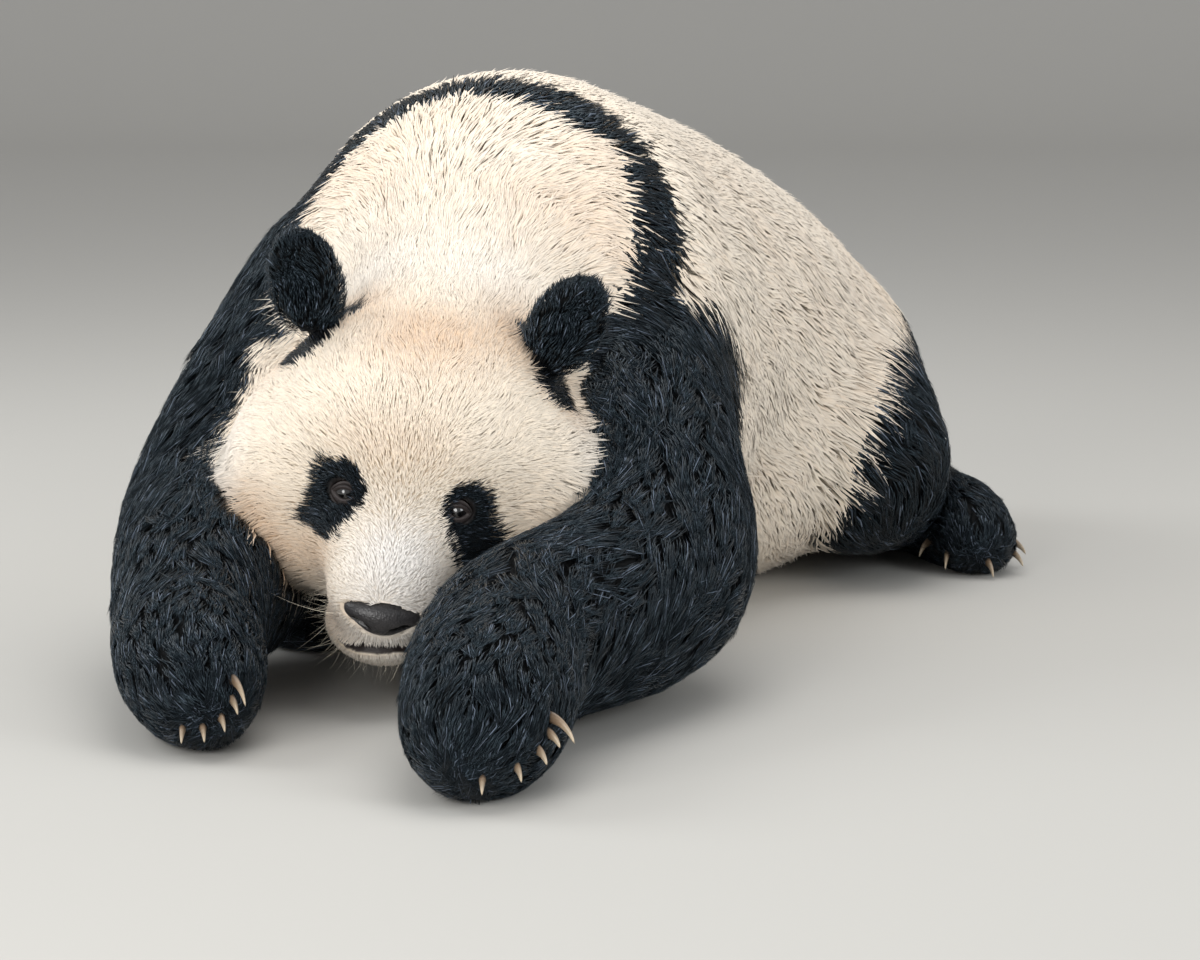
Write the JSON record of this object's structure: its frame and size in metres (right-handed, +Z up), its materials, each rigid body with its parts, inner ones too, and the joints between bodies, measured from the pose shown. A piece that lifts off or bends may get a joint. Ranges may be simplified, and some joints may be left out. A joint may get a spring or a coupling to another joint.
{
  "type": "giant panda model",
  "caption": "Life-size giant panda lying on its belly, head lowered between outstretched forelegs, hind legs folded beside the body.",
  "frame": {"origin": "centre of the plan at floor level", "axes": "-Y is the way the face looks, +X is the animal's left side, +Z is up"},
  "size_m": [0.8868, 1.6692, 0.5333],
  "materials": {
    "coat_cream": "dense woolly coat, cream white with a warm tan tint",
    "coat_black": "long glossy coat, brownish black with blue-grey glints",
    "nose": "bare pebbled skin, slightly moist",
    "eye": "wet gloss, dark brown",
    "claw": "ivory horn, smooth"
  },
  "bodies": {
    "root": {"barrel": "coat_cream", "ear_left": "coat_black", "ear_right": "coat_black", "eye_left": "eye", "eye_right": "eye", "fore_claw_left_1": "claw", "fore_claw_left_2": "claw", "fore_claw_left_3": "claw", "fore_claw_left_4": "claw", "fore_claw_left_5": "claw", "fore_claw_right_1": "claw", "fore_claw_right_2": "claw", "fore_claw_right_3": "claw", "fore_claw_right_4": "claw", "fore_claw_right_5": "claw", "fore_paw_left": "coat_black", "fore_paw_right": "coat_black", "forearm_left": "coat_black", "forearm_right": "coat_black", "head": "coat_cream", "hind_claw_left_1": "claw", "hind_claw_left_2": "claw", "hind_claw_left_3": "claw", "hind_claw_left_4": "claw", "hind_claw_left_5": "claw", "hind_claw_right_1": "claw", "hind_claw_right_2": "claw", "hind_claw_right_3": "claw", "hind_claw_right_4": "claw", "hind_claw_right_5": "claw", "hind_paw_left": "coat_black", "hind_paw_right": "coat_black", "lower_jaw": "coat_cream", "neck": "coat_cream", "nose": "nose", "rump": "coat_cream", "shank_left": "coat_black", "shank_right": "coat_black", "shoulders": "coat_black", "tail": "coat_cream", "thigh_left": "coat_black", "thigh_right": "coat_black", "upper_arm_left": "coat_black", "upper_arm_right": "coat_black"}
  },
  "joints": []
}
